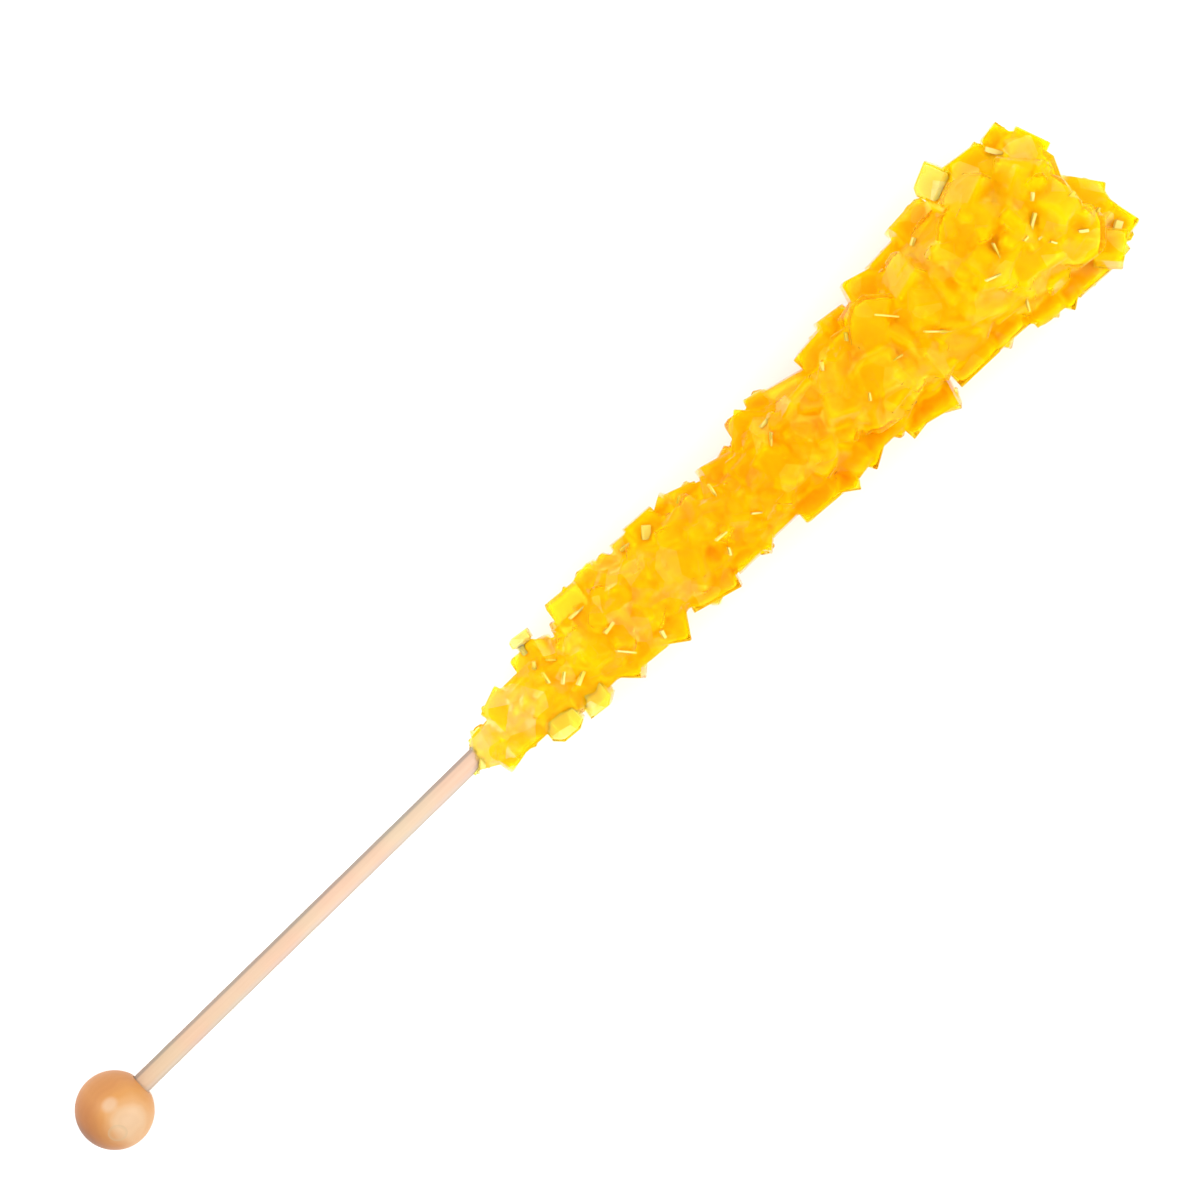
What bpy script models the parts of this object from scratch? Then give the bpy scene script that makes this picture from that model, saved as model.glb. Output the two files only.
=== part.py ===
"""Rock candy stick: sugar crystals grown along a wooden stick that ends in a turned wooden ball.

The stick lies on the floor (z = 0) with +X running from the ball to the blunt, thick end of the candy.
The ball is smaller than the thick end, so the stick slopes: the ball and the thick end touch the floor.

Everything is modelled along the stick first: u runs along the stick from the ball's centre, v is
sideways (+Y) and w is up. The empty "stick_line" then carries the pieces to their place on the floor.
Lengths are metres, except in the tables of the candy, which are millimetres and are scaled by MM.
"""

import math
import random

import bmesh
import bpy
from mathutils import Euler, Matrix, Vector

MM = 0.001

# The wooden ball and stick
BALL_RADIUS = 4.75 * MM
BALL_SEGMENTS = 28
BALL_RINGS = 14
HOLE_FLAT = 4.4 * MM           # the ball is faced off here, where the stick goes in
HOLE_END = -2.0 * MM           # the hole's blind end, past the ball's centre
STICK_RADIUS = 1.25 * MM
STICK_SIDES = 20
STICK_END_IN_CANDY = 148.0 * MM
STICK_END_CHAMFER = 0.25 * MM
FIT_GAP = 0.3 * MM             # clearance of the stick in the ball and in the candy

# How the stick lies on the floor
FLOOR_FLAT = 0.06 * MM         # depth of the flat spot under the ball
SLOPE = math.radians(2.2)      # rise of the stick from the ball to the thick end
FLOOR_BLOCK = 400 * MM         # the block that trims what would reach below the floor

# The candy's reach from the stick: (u, reach at the +Y side, reach at the -Y side)
OUTLINE = (
    (60, 0.9, 2.4), (64, 1.5, 3.0), (67, 3.4, 3.8), (72, 4.6, 5.4), (76, 4.2, 5.4),
    (80, 6.4, 6.2), (90, 6.4, 5.9), (103, 5.7, 6.0), (112, 7.4, 7.4), (120, 6.6, 7.6),
    (130, 8.8, 8.5), (140, 10.2, 8.8), (147, 11.2, 10.3), (155, 10.4, 10.6), (160, 6.0, 8.0),
)
CORE_DEPTH = 2.6               # the solid core lies this far under the crystals' outer corners
CORE_SIDES = 12
CORE_START = 62.0
CORE_END = 156.0
CORE_STEP = 9.5

# The crystals
SEED = 16
OBLIQUE = math.radians(13)     # a sugar crystal's faces lean by this much from a square block
SIZE_AT_START = 2.9
SIZE_AT_END = 5.2
ROWS_START = 61.5
ROWS_END = 156.5
ROW_PITCH = 0.95               # from one row to the next, in crystal sizes
AROUND_PITCH = 1.05            # from one crystal to the next round a row, in crystal sizes
LEAN = math.radians(35)        # crystals lean by up to this much from straight out
SHORTEST_REACH = 0.65          # where the candy is thinner than this many crystal sizes, it is bare
END_BASE = 149.0               # the crystals of the blunt end spread out from here
END_REACH = 8.8
END_RINGS = ((0.0, 1), (0.45, 6), (0.85, 11))   # (lean outwards, number of crystals)

# Crystals that stand out at the two sides, seen from above: (u, v, length, width, turn in degrees)
SIDE_CRYSTALS = (
    # +Y side
    (66.2, 2.3, 3.8, 3.4, 20), (69.8, 2.1, 3.4, 3.4, 0), (73.3, 3.4, 5.0, 3.6, -6),
    (72.9, 5.3, 0.9, 1.6, -8), (73.6, 6.3, 2.7, 1.4, -8), (80.8, 4.9, 4.8, 4.3, -5),
    (84.0, 5.3, 4.4, 3.6, 8), (86.8, 4.7, 3.8, 3.6, 36), (90.4, 5.1, 3.4, 3.4, -4),
    (93.3, 5.3, 4.2, 3.6, -3), (96.7, 5.0, 3.0, 3.4, 30), (98.9, 4.6, 3.6, 3.2, -20),
    (101.6, 3.4, 2.4, 3.0, 0), (104.4, 3.8, 4.6, 3.6, -15), (110.2, 5.0, 4.8, 4.2, 42),
    (113.0, 6.2, 2.6, 3.4, -15), (116.6, 4.5, 5.6, 4.4, -14), (122.7, 5.7, 5.0, 4.2, 6),
    (126.2, 6.7, 3.8, 3.6, -8), (131.4, 7.4, 4.4, 4.2, -16), (136.3, 7.4, 5.2, 4.0, 2),
    (141.0, 8.7, 5.2, 4.4, 4), (146.1, 10.8, 4.2, 4.0, 24), (150.4, 8.9, 5.0, 4.4, -8),
    (155.0, 9.0, 3.2, 3.6, 9), (156.9, 6.2, 3.5, 4.6, 20),
    # the blunt end
    (157.7, -2.3, 4.6, 3.8, -54), (157.4, -4.6, 4.2, 3.6, 8), (157.9, -7.7, 4.0, 4.4, 10),
    # -Y side, from the blunt end back to the bare stick
    (155.7, -9.3, 3.9, 3.6, 38), (151.8, -9.1, 4.8, 4.2, -3), (148.3, -9.2, 3.3, 3.3, 35),
    (145.3, -8.5, 4.2, 3.6, -8), (140.4, -6.9, 5.4, 4.2, -3), (135.0, -6.7, 6.2, 4.2, -1),
    (128.5, -7.7, 4.8, 3.8, -14), (125.3, -7.3, 3.3, 3.4, 8), (122.0, -5.5, 4.6, 3.8, 0),
    (118.6, -6.3, 3.4, 3.4, 30), (116.8, -6.1, 3.0, 3.4, 10), (114.2, -6.5, 3.6, 3.6, -35),
    (110.4, -5.9, 5.4, 3.8, -4), (105.6, -4.2, 4.6, 3.8, 0), (102.2, -4.9, 3.2, 3.2, 40),
    (99.6, -4.6, 4.0, 3.4, 0), (94.2, -4.8, 6.4, 3.7, -15), (87.3, -5.1, 4.0, 3.7, -35),
    (83.8, -4.5, 4.2, 3.6, -5), (80.4, -4.5, 4.4, 3.2, -45), (77.8, -3.7, 2.6, 2.8, 0),
    (75.3, -4.7, 3.8, 3.6, -6), (70.4, -4.4, 4.5, 3.2, -4), (66.0, -2.2, 4.6, 3.0, -4),
    (62.9, -2.8, 2.6, 2.5, 10), (60.6, -1.2, 2.6, 1.6, -30), (59.2, -0.8, 1.4, 1.2, 10),
)
SIDE_ROLL = math.radians(16)   # they also roll by up to this much about the sideways direction
SIDE_LEVEL = 0.25              # and lie above or below the stick by up to this share of their distance

# Crystals that the thick end rests on, seen from above, cut off flat by the floor
FOOT_CRYSTALS = (
    (141.5, -3.0, 5.0, 4.4, 15), (143.5, 3.2, 4.8, 4.6, -20), (149.0, 0.2, 5.2, 4.8, 35),
)
FOOT_DEPTH = 5.0
FOOT_SINK = 0.35               # how far they would reach below the floor


def remove_everything():
    """Start from an empty file."""
    for thing in list(bpy.data.objects):
        bpy.data.objects.remove(thing)


def material(name, colour, roughness, transmission=0.0):
    """A Principled material with the piece's colour and finish."""
    made = bpy.data.materials.new(name)
    made.use_nodes = True
    shader = made.node_tree.nodes["Principled BSDF"]
    shader.inputs["Base Color"].default_value = (*colour, 1.0)
    shader.inputs["Roughness"].default_value = roughness
    shader.inputs["Transmission Weight"].default_value = transmission
    made.diffuse_color = (*colour, 1.0)
    return made


def object_from(bm, name, parent, finish=None):
    """Turn a bmesh into a named object that is carried by its parent."""
    bm.normal_update()
    bmesh.ops.recalc_face_normals(bm, faces=bm.faces[:])
    mesh = bpy.data.meshes.new(name)
    bm.to_mesh(mesh)
    bm.free()
    thing = bpy.data.objects.new(name, mesh)
    bpy.context.scene.collection.objects.link(thing)
    thing.parent = parent
    if finish:
        mesh.materials.append(finish)
    return thing


def hide_cutter(thing):
    """A cutter only shapes other pieces."""
    thing.hide_render = True
    thing.display_type = "WIRE"
    return thing


def boolean(target, tool, operation, join_self=False):
    """Add an exact Boolean to the target."""
    step = target.modifiers.new(f"{operation.lower()} {tool.name}", "BOOLEAN")
    step.operation = operation
    step.solver = "EXACT"
    step.use_self = join_self
    step.object = tool


# ---- Round pieces -----------------------------------------------------------------------------

def ring_of(bm, u, reach_at, sides, turn=0.0):
    """A ring of vertices round the stick's line, with a reach for each angle."""
    ring = []
    for step in range(sides):
        angle = turn + 2 * math.pi * step / sides
        reach = reach_at(angle)
        ring.append(bm.verts.new((u, reach * math.cos(angle), reach * math.sin(angle))))
    return ring


def close_rings(bm, rings):
    """Skin a row of rings and cap both ends."""
    for near, far in zip(rings, rings[1:]):
        for step in range(len(near)):
            after = (step + 1) % len(near)
            bm.faces.new((near[step], near[after], far[after], far[step]))
    bm.faces.new(rings[0])
    bm.faces.new(rings[-1])


def rod(start, end, radius, chamfer=0.0):
    """A round rod along u, with chamfered ends."""
    bm = bmesh.new()
    profile = [(start, radius - chamfer), (start + chamfer, radius)]
    profile += [(end - chamfer, radius), (end, radius - chamfer)]
    if not chamfer:
        profile = [(start, radius), (end, radius)]
    rings = [ring_of(bm, u, lambda angle: reach, STICK_SIDES) for u, reach in profile]
    close_rings(bm, rings)
    return bm


def make_stick(line):
    """The dowel, from inside the ball to near the candy's blunt end."""
    wood = material("stick_wood", (0.93, 0.71, 0.51), 0.65)
    bm = rod(HOLE_END + FIT_GAP, STICK_END_IN_CANDY, STICK_RADIUS, STICK_END_CHAMFER)
    stick = object_from(bm, "stick", line, wood)
    stick.data.shade_smooth()
    stick.data.set_sharp_from_angle(angle=math.radians(30))
    return stick


def make_ball(line, floor):
    """The turned ball, with a blind hole for the stick and a small flat round it."""
    wood = material("ball_wood", (0.78, 0.47, 0.25), 0.5)
    bm = bmesh.new()
    bmesh.ops.create_uvsphere(
        bm, u_segments=BALL_SEGMENTS, v_segments=BALL_RINGS, radius=BALL_RADIUS,
        matrix=Matrix.Rotation(math.radians(90), 4, "Y"))
    ball = object_from(bm, "ball", line, wood)
    hole = rod(HOLE_END, 2 * BALL_RADIUS, STICK_RADIUS + FIT_GAP)
    boolean(ball, hide_cutter(object_from(hole, "ball_hole", line)), "DIFFERENCE")
    facing = bmesh.new()
    bmesh.ops.create_cube(facing, size=2 * BALL_RADIUS)
    cutter = hide_cutter(object_from(facing, "ball_facing", line))
    cutter.location.x = HOLE_FLAT + BALL_RADIUS
    boolean(ball, cutter, "DIFFERENCE")
    boolean(ball, floor, "DIFFERENCE")
    ball.data.shade_smooth()
    ball.data.set_sharp_from_angle(angle=math.radians(30))
    return ball


# ---- Sugar crystals ---------------------------------------------------------------------------

def side_reach(u, angle):
    """The candy's reach from the stick at a place and an angle: 0 is the +Y side, pi the -Y side."""
    u = min(max(u, OUTLINE[0][0]), OUTLINE[-1][0])
    for near, far in zip(OUTLINE, OUTLINE[1:]):
        if u <= far[0]:
            break
    share = (u - near[0]) / (far[0] - near[0])
    plus_y = near[1] + (far[1] - near[1]) * share
    minus_y = near[2] + (far[2] - near[2]) * share
    side = 0.5 + 0.5 * math.cos(angle)
    return plus_y * side + minus_y * (1 - side)


def make_core(line, finish):
    """The solid middle of the candy, which every crystal grows out of."""
    bm = bmesh.new()
    rings = []
    steps = round((CORE_END - CORE_START) / CORE_STEP)
    for step in range(steps + 1):
        u = CORE_START + (CORE_END - CORE_START) * step / steps
        thinnest = 1.6 * STICK_RADIUS
        rings.append(ring_of(
            bm, u * MM, lambda angle: max((side_reach(u, angle) - CORE_DEPTH) * MM, thinnest),
            CORE_SIDES, turn=0.3 * step))
    close_rings(bm, rings)
    return object_from(bm, "candy", line, finish)


def crystal_form(cuts):
    """The corners and faces of one form of sugar crystal: a leaning unit block with flat cuts.

    Each cut is (direction, distance from the block's centre).
    """
    bm = bmesh.new()
    bmesh.ops.create_cube(bm, size=1.0)
    for direction, distance in cuts:
        normal = Vector(direction).normalized()
        cut = bmesh.ops.bisect_plane(
            bm, geom=bm.verts[:] + bm.edges[:] + bm.faces[:], dist=1e-6,
            plane_co=normal * distance, plane_no=normal, clear_outer=True)
        rim = [edge for edge in cut["geom_cut"] if isinstance(edge, bmesh.types.BMEdge)]
        bmesh.ops.contextual_create(bm, geom=rim)
    lean = Matrix.Identity(4)
    lean[1][2] = math.tan(OBLIQUE)
    bmesh.ops.transform(bm, matrix=lean, verts=bm.verts[:])
    form = bpy.data.meshes.new("crystal_form")
    bm.to_mesh(form)
    bm.free()
    return form


def add_crystal(bm, form, centre, turn, size):
    """Place a crystal of a form by its centre, its turn and its size."""
    first = len(bm.verts)
    bm.from_mesh(form)
    bm.verts.ensure_lookup_table()
    place = Matrix.LocRotScale(centre, turn, size)
    for vert in bm.verts[first:]:
        vert.co = place @ vert.co * MM


def grow_crystal(bm, form, foot, outward, reach, size, rng):
    """Grow a crystal away from its foot until its outermost corner is at the reach."""
    along = Vector((1, 0, 0)) if abs(outward.x) < 0.7 else Vector((0, 1, 0))
    across = outward.cross(along).normalized()
    upright = Matrix((across.cross(outward), across, outward)).transposed()
    lean = Euler((rng.uniform(-LEAN, LEAN), rng.uniform(-LEAN, LEAN), 0)).to_matrix()
    spin = Matrix.Rotation(rng.uniform(0, 2 * math.pi), 3, "Z")
    turn = upright @ lean @ spin
    lengths = Vector((
        size * rng.uniform(1.0, 1.5), size * rng.uniform(0.8, 1.15), size * rng.uniform(0.9, 1.3)))
    height = max(
        outward.dot(turn @ Vector(a * b for a, b in zip(vert.co, lengths))) for vert in form.vertices)
    centre = foot + outward * max(reach - height, 0.2)
    add_crystal(bm, form, centre, turn.to_quaternion(), lengths)


def grow_rows(bm, forms, rng):
    """Rows of crystals round the stick, lower at the two sides, where larger ones stand out."""
    u = ROWS_START
    while u < ROWS_END:
        share = (u - ROWS_START) / (ROWS_END - ROWS_START)
        size = SIZE_AT_START + (SIZE_AT_END - SIZE_AT_START) * share
        girth = math.pi * 0.85 * (side_reach(u, 0) + side_reach(u, math.pi))
        around = max(5, round(girth / (size * AROUND_PITCH)))
        first_angle = rng.uniform(0, 2 * math.pi)
        for step in range(around):
            angle = first_angle + 2 * math.pi * (step + rng.uniform(-0.25, 0.25)) / around
            place = u + rng.uniform(-0.35, 0.35) * size
            lowered = 1 - 0.12 * math.cos(angle) ** 4
            reach = side_reach(place, angle) * rng.uniform(0.88, 1.02) * lowered
            outward = Vector((0, math.cos(angle), math.sin(angle)))
            foot = Vector((place, 0, 0))
            if reach > SHORTEST_REACH * size:
                grow_crystal(bm, rng.choice(forms), foot, outward, reach, size, rng)
        u += size * ROW_PITCH


def grow_end(bm, forms, rng):
    """Crystals that spread out over the blunt end."""
    for spread, number in END_RINGS:
        for step in range(number):
            angle = 2 * math.pi * (step + rng.uniform(-0.2, 0.2)) / number
            outward = Vector((1, spread * math.cos(angle), spread * math.sin(angle))).normalized()
            foot = Vector((END_BASE, outward.y * 5, outward.z * 5))
            reach = END_REACH * outward.x * rng.uniform(0.88, 1.0)
            grow_crystal(bm, rng.choice(forms), foot, outward, reach, SIZE_AT_END, rng)


def place_side_crystals(bm, forms, rng):
    """The crystals that stand out at the two sides, each turned in the plane seen from above."""
    for u, v, length, width, turn in SIDE_CRYSTALS:
        level = rng.uniform(-SIDE_LEVEL, SIDE_LEVEL) * abs(v)
        roll = rng.uniform(-SIDE_ROLL, SIDE_ROLL)
        depth = 0.5 * (length + width) * rng.uniform(0.8, 1.25)
        upright = Euler((math.radians(90), roll, math.radians(turn)))
        size = Vector((length, depth, width))
        add_crystal(bm, rng.choice(forms), Vector((u, v, level)), upright.to_quaternion(), size)


def place_foot_crystals(bm, form):
    """The crystals under the thick end that reach down to the floor."""
    for u, v, length, width, turn in FOOT_CRYSTALS:
        floor = -((BALL_RADIUS - FLOOR_FLAT) / MM / math.cos(SLOPE) + u * math.tan(SLOPE))
        centre = Vector((u, v, floor - FOOT_SINK + 0.5 * FOOT_DEPTH))
        upright = Euler((0, 0, math.radians(turn)))
        add_crystal(bm, form, centre, upright.to_quaternion(), Vector((length, width, FOOT_DEPTH)))


def islands_of(bm):
    """The separate shells of a mesh, smallest first."""
    shells = []
    left = set(bm.faces)
    while left:
        shell = [left.pop()]
        for face in shell:
            touching = {other for edge in face.edges for other in edge.link_faces} & left
            left -= touching
            shell.extend(touching)
        shells.append(shell)
    return sorted(shells, key=len)


def keep_outer_shell(thing):
    """Bake the modifiers and fill the small hollows sealed in between crystals."""
    depsgraph = bpy.context.evaluated_depsgraph_get()
    baked = bpy.data.meshes.new_from_object(thing.evaluated_get(depsgraph))
    bm = bmesh.new()
    bm.from_mesh(baked)
    for hollow in islands_of(bm)[:-1]:
        bmesh.ops.delete(bm, geom=hollow, context="FACES")
    bm.to_mesh(baked)
    bm.free()
    thing.modifiers.clear()
    thing.data = baked


def make_candy(line, floor):
    """All the crystals and their core as one solid, bored for the stick and flat where it rests."""
    sugar = material("sugar", (0.95, 0.55, 0.03), 0.12, transmission=0.6)
    block = crystal_form(())
    forms = [
        block,
        crystal_form((((0, 1, 1), 0.56),)),
        crystal_form((((1, 0, 1), 0.54), ((-1, 0, -1), 0.6))),
        crystal_form((((1, 1, 1), 0.62), ((-1, 1, 0), 0.58))),
    ]
    rng = random.Random(SEED)
    bm = bmesh.new()
    grow_rows(bm, forms, rng)
    grow_end(bm, forms, rng)
    place_side_crystals(bm, forms[:2], rng)
    place_foot_crystals(bm, block)
    crystals = hide_cutter(object_from(bm, "crystals", line))
    candy = make_core(line, sugar)
    boolean(candy, crystals, "UNION", join_self=True)
    keep_outer_shell(candy)
    bore = rod(0, STICK_END_IN_CANDY + FIT_GAP, STICK_RADIUS + FIT_GAP)
    boolean(candy, hide_cutter(object_from(bore, "candy_bore", line)), "DIFFERENCE")
    boolean(candy, floor, "DIFFERENCE")
    keep_outer_shell(candy)
    return candy


# ---- Assembly ---------------------------------------------------------------------------------

def lay_on_floor(line, pieces):
    """Centre the finished pieces over the origin, which keeps the floor at z = 0."""
    bpy.context.view_layer.update()
    depsgraph = bpy.context.evaluated_depsgraph_get()
    corners = []
    for piece in pieces:
        shape = piece.evaluated_get(depsgraph)
        corners += [shape.matrix_world @ vert.co for vert in shape.data.vertices]
    for axis in (0, 1):
        reaches = [corner[axis] for corner in corners]
        line.location[axis] -= (min(reaches) + max(reaches)) / 2


def main():
    """Build the three pieces and lay them on the floor."""
    remove_everything()
    line = bpy.data.objects.new("stick_line", None)
    bpy.context.scene.collection.objects.link(line)
    line.location.z = BALL_RADIUS - FLOOR_FLAT
    line.rotation_euler.y = -SLOPE
    bm = bmesh.new()
    bmesh.ops.create_cube(bm, size=FLOOR_BLOCK)
    floor = hide_cutter(object_from(bm, "floor_cutter", None))
    floor.location.z = -0.5 * FLOOR_BLOCK
    bpy.context.view_layer.update()
    pieces = [make_stick(line), make_ball(line, floor), make_candy(line, floor)]
    lay_on_floor(line, pieces)


main()
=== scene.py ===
"""Rock candy stick: the looks of its three CAD nodes, with the floor, the light and the camera.

The candy's crystals grow by the same rules and the same draws as in the CAD source, so each one stands
where the CAD has it, apart from a few pale ones that sit higher. The looks add rounded edges, cut
corners, steps and smaller crystals, with cloudy hearts inside and thin pale crystals on top whose
pale colour paints glints.
Along the stick, u runs from the ball's centre, v is sideways (+Y) and w is up. Lengths are metres,
except in the candy's tables and forms, which are millimetres and are scaled by MM.
"""

import math
import random

import bmesh
import bpy
from mathutils import Euler, Matrix, Vector
from mathutils.bvhtree import BVHTree


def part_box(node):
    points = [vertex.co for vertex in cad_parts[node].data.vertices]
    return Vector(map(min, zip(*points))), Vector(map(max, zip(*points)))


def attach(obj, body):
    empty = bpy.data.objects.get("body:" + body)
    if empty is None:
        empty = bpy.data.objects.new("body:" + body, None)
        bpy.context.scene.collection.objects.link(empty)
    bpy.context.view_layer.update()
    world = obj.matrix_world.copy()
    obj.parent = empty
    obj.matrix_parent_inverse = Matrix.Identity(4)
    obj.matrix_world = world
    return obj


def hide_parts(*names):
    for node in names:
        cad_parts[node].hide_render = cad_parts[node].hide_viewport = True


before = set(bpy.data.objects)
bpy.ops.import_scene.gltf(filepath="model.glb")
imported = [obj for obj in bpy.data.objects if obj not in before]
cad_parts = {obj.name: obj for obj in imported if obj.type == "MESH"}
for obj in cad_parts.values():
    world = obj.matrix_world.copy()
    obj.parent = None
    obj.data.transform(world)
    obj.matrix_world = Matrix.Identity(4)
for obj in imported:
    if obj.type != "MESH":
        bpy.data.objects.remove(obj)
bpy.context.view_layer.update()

MM = 0.001

# The wooden ball and stick, as in the CAD
BALL_RADIUS = 4.75 * MM
HOLE_FLAT = 4.4 * MM
STICK_RADIUS = 1.25 * MM
STICK_START = 1.0 * MM
STICK_END = 148.0 * MM
STICK_CHAMFER = 0.25 * MM
FLOOR_FLAT = 0.06 * MM
SLOPE = math.radians(2.2)
FLOOR_BLOCK = 400 * MM

# What the looks add to the wood
STICK_SIDES = 48
STICK_STEPS = 120
STICK_UNEVENNESS = 0.02 * MM
BALL_SIDES = 96
BALL_ROWS = 64
HOLE_SEAM = 0.08 * MM          # the gap between the stick and the ball
HOLE_ROUNDING = 0.06 * MM
HOLE_BOTTOM = 2.0 * MM
HOLE_MIDDLE = 0.2 * MM         # radius of the cap that closes the hole's bottom
SHARP_ANGLE = math.radians(30)

# The candy's reach from the stick: (u, reach at the +Y side, reach at the -Y side)
OUTLINE = (
    (60, 0.9, 2.4), (64, 1.5, 3.0), (67, 3.4, 3.8), (72, 4.6, 5.4), (76, 4.2, 5.4),
    (80, 6.4, 6.2), (90, 6.4, 5.9), (103, 5.7, 6.0), (112, 7.4, 7.4), (120, 6.6, 7.6),
    (130, 8.8, 8.5), (140, 10.2, 8.8), (147, 11.2, 10.3), (155, 10.4, 10.6), (160, 6.0, 8.0),
)
CORE_SIDES = 12
CORE_START = 62.0
CORE_END = 156.0
CORE_STEP = 9.5
CORE_TWIST = 0.3               # radians, from each ring to the next
CORE_THINNEST = 1.6 * STICK_RADIUS

# The crystals, as in the CAD
SEED = 16
OBLIQUE = math.radians(13)
# The forms' flat cuts: (direction, distance from the middle)
FORM_CUTS = (
    (),
    (((0, 1, 1), 0.56),),
    (((1, 0, 1), 0.54), ((-1, 0, -1), 0.6)),
    (((1, 1, 1), 0.62), ((-1, 1, 0), 0.58)),
)
PROPORTIONS = ((1.0, 1.5), (0.8, 1.15), (0.9, 1.3))     # length, width and height, in crystal sizes
SIZE_AT_START = 2.9
SIZE_AT_END = 5.2
ROWS_START = 61.5
ROWS_END = 156.5
ROW_PITCH = 0.95
ROW_GIRTH = 0.85               # a row's girth, against a circle's at its full reach
FEWEST_AROUND = 5
AROUND_PITCH = 1.05
AROUND_SHIFT = 0.25            # against the step from one crystal to the next
ALONG_SHIFT = 0.35             # in crystal sizes
ROW_REACH = (0.88, 1.02)       # against the outline
SIDE_LOWERING = 0.12           # and less by this share at the two sides
LEAN = math.radians(35)
LOWEST_CENTRE = 0.2            # a crystal's middle is at least this far from its foot
SHORTEST_REACH = 0.65
END_BASE = 149.0
END_SPREAD = 5                 # their feet's distance from the stick's line, against their lean
END_REACH = 8.8
END_REACHES = (0.88, 1.0)      # against END_REACH
END_SHIFT = 0.2                # against the step from one crystal to the next
END_RINGS = ((0.0, 1), (0.45, 6), (0.85, 11))

# Crystals that stand out at the two sides, seen from above: (u, v, length, width, turn in degrees)
SIDE_CRYSTALS = (
    # +Y side
    (66.2, 2.3, 3.8, 3.4, 20), (69.8, 2.1, 3.4, 3.4, 0), (73.3, 3.4, 5.0, 3.6, -6),
    (72.9, 5.3, 0.9, 1.6, -8), (73.6, 6.3, 2.7, 1.4, -8), (80.8, 4.9, 4.8, 4.3, -5),
    (84.0, 5.3, 4.4, 3.6, 8), (86.8, 4.7, 3.8, 3.6, 36), (90.4, 5.1, 3.4, 3.4, -4),
    (93.3, 5.3, 4.2, 3.6, -3), (96.7, 5.0, 3.0, 3.4, 30), (98.9, 4.6, 3.6, 3.2, -20),
    (101.6, 3.4, 2.4, 3.0, 0), (104.4, 3.8, 4.6, 3.6, -15), (110.2, 5.0, 4.8, 4.2, 42),
    (113.0, 6.2, 2.6, 3.4, -15), (116.6, 4.5, 5.6, 4.4, -14), (122.7, 5.7, 5.0, 4.2, 6),
    (126.2, 6.7, 3.8, 3.6, -8), (131.4, 7.4, 4.4, 4.2, -16), (136.3, 7.4, 5.2, 4.0, 2),
    (141.0, 8.7, 5.2, 4.4, 4), (146.1, 10.8, 4.2, 4.0, 24), (150.4, 8.9, 5.0, 4.4, -8),
    (155.0, 9.0, 3.2, 3.6, 9), (156.9, 6.2, 3.5, 4.6, 20),
    # the blunt end
    (157.7, -2.3, 4.6, 3.8, -54), (157.4, -4.6, 4.2, 3.6, 8), (157.9, -7.7, 4.0, 4.4, 10),
    # -Y side, from the blunt end back to the bare stick
    (155.7, -9.3, 3.9, 3.6, 38), (151.8, -9.1, 4.8, 4.2, -3), (148.3, -9.2, 3.3, 3.3, 35),
    (145.3, -8.5, 4.2, 3.6, -8), (140.4, -6.9, 5.4, 4.2, -3), (135.0, -6.7, 6.2, 4.2, -1),
    (128.5, -7.7, 4.8, 3.8, -14), (125.3, -7.3, 3.3, 3.4, 8), (122.0, -5.5, 4.6, 3.8, 0),
    (118.6, -6.3, 3.4, 3.4, 30), (116.8, -6.1, 3.0, 3.4, 10), (114.2, -6.5, 3.6, 3.6, -35),
    (110.4, -5.9, 5.4, 3.8, -4), (105.6, -4.2, 4.6, 3.8, 0), (102.2, -4.9, 3.2, 3.2, 40),
    (99.6, -4.6, 4.0, 3.4, 0), (94.2, -4.8, 6.4, 3.7, -15), (87.3, -5.1, 4.0, 3.7, -35),
    (83.8, -4.5, 4.2, 3.6, -5), (80.4, -4.5, 4.4, 3.2, -45), (77.8, -3.7, 2.6, 2.8, 0),
    (75.3, -4.7, 3.8, 3.6, -6), (70.4, -4.4, 4.5, 3.2, -4), (66.0, -2.2, 4.6, 3.0, -4),
    (62.9, -2.8, 2.6, 2.5, 10), (60.6, -1.2, 2.6, 1.6, -30), (59.2, -0.8, 1.4, 1.2, 10),
)
SIDE_ROLL = math.radians(16)
SIDE_LEVEL = 0.25
SIDE_DEPTHS = (0.8, 1.25)      # against the mean of the length and the width
FOOT_CRYSTALS = (
    (141.5, -3.0, 5.0, 4.4, 15), (143.5, 3.2, 4.8, 4.6, -20), (149.0, 0.2, 5.2, 4.8, 35),
)
FOOT_DEPTH = 5.0
FOOT_SINK = 0.35

# What the looks add to the crystals
LOOKS_SEED = 5
FLOOR_GAP = 0.04 * MM          # under the candy, so that light gets between it and the floor
ROUNDING = 0.05                # an edge's rounding, as a share of the crystal
ROUNDING_SEGMENTS = 2
STEPPED_SHARE = 0.4            # this share of the crystals in the rows has a step on it
STEP_SIZES = ((0.45, 0.75), (0.45, 0.75), (0.5, 0.8))     # a step's three sizes, against its crystal's
STEP_PROUD = (0.02, 0.07)
CHIPPED_FORMS = 12             # forms with corners and edges cut off, which are drawn at random
CHIPS = 4
DEEP_CHIPS = (0.62, 0.92)      # distance of a cut from the crystal's middle, against the whole corner's
SLIGHT_CHIPS = (0.84, 0.97)
PALE_CHIPS = 9                 # the pale crystals are rounder
ROUND_CHIPS = (0.72, 0.86)
SIDE_TILT = math.radians(4)    # the side crystals also tilt about the stick's line
TILT_SPREAD = 0.6              # how much wider that makes them, against the tilt's sine
SIDE_COMPANIONS = 2            # smaller crystals on each side crystal
ROW_COMPANIONS = 1             # and on each crystal of the rows
COMPANION_LEAN = math.radians(40)
COMPANION_SIZE = (0.4, 0.65)
COMPANION_SHIFT = 0.28         # how far off a crystal's middle they may be, against its size
SMALL_CRYSTALS = 650
SMALL_SIZE = (1.2, 2.6)        # millimetres
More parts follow.
